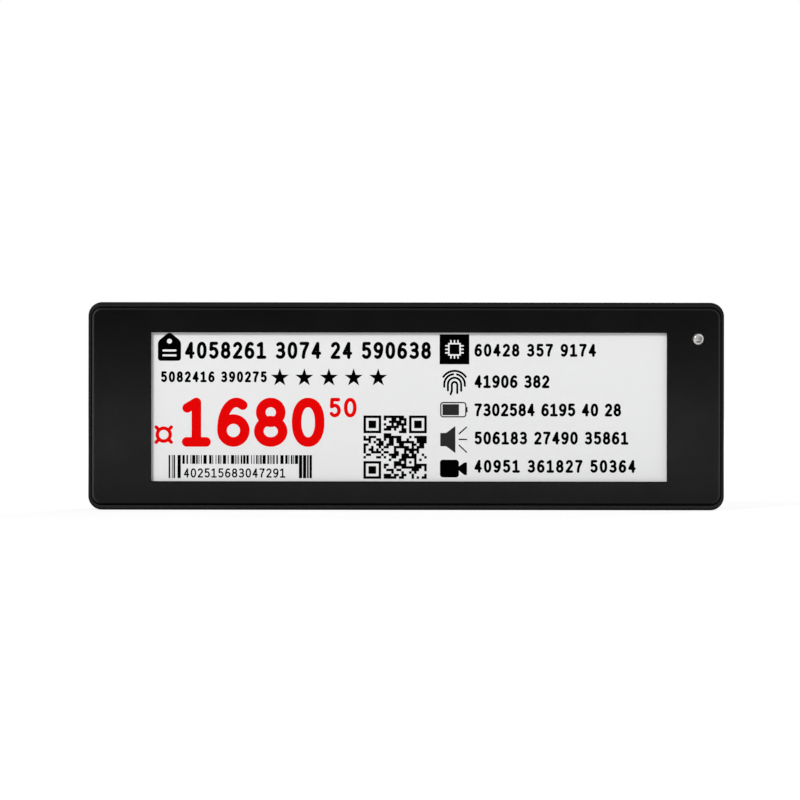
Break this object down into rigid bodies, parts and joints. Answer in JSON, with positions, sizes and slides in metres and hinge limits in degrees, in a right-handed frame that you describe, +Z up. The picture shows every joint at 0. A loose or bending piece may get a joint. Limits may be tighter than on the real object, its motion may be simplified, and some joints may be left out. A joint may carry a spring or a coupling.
{
  "type": "electronic shelf label",
  "caption": "Slim black electronic shelf label with a wide e-paper window, a round light pipe, a snap-in battery door, coin cells and a recessed setup button.",
  "frame": {"origin": "on the surface the label stands on, under the middle of its box", "axes": "+Z up the label's height; +X to the right as the screen is read; the screen faces -Y and the battery door faces +Y"},
  "size_m": [0.1296, 0.0122, 0.0423],
  "materials": {
    "housing_black": "satin",
    "bezel_black": "satin",
    "gasket_foam": "matt foam",
    "lens_clear": "clear moulded",
    "paper_white": "matt film",
    "panel_glass": "thin glass",
    "chip_black": "moulded",
    "flex_amber": "polyimide film",
    "tape_cream": "adhesive sheet",
    "carrier_white": "moulded",
    "board_green": "solder mask",
    "connector_cream": "moulded",
    "tinned_steel": "tinned",
    "copper_track": "bare copper",
    "ferrite_grey": "ferrite",
    "capacitor_tan": "ceramic chip",
    "led_white": "epoxy",
    "screw_steel": "plated",
    "spring_nickel": "nickel plated",
    "cell_steel": "brushed can"
  },
  "bodies": {
    "label": {"rear_housing": "housing_black", "front_bezel": "bezel_black", "window_gasket": "gasket_foam", "light_pipe": "lens_clear", "display_film": "paper_white", "display_glass": "panel_glass", "display_driver": "chip_black", "display_flex": "flex_amber", "panel_tape": "tape_cream", "panel_carrier": "carrier_white", "main_board": "board_green", "flex_connector": "connector_cream", "radio_shield": "tinned_steel", "board_antenna": "copper_track", "crystal": "tinned_steel", "memory_chip": "chip_black", "power_inductor": "ferrite_grey", "board_capacitors": "capacitor_tan", "indicator_led": "led_white", "setup_switch": "chip_black", "board_screws": "screw_steel", "negative_contacts": "spring_nickel", "positive_contacts": "spring_nickel", "coin_cell_1": "cell_steel", "coin_cell_2": "cell_steel", "coin_cell_3": "cell_steel"},
    "door": {"battery_door": "housing_black"},
    "button": {"setup_button": "bezel_black", "switch_plunger": "connector_cream"}
  },
  "joints": [
    {"name": "door_swing", "type": "hinge", "parent": "label", "child": "door", "pos_m": [-0.041, 0.00615, 0.02115], "axis": [0, 0, 1], "range_deg": [0, 40]},
    {"name": "button_press", "type": "slide", "parent": "label", "child": "button", "axis": [0, -1, 0], "range_m": [0, 0.0003], "stiffness_N_per_m": 400}
  ]
}
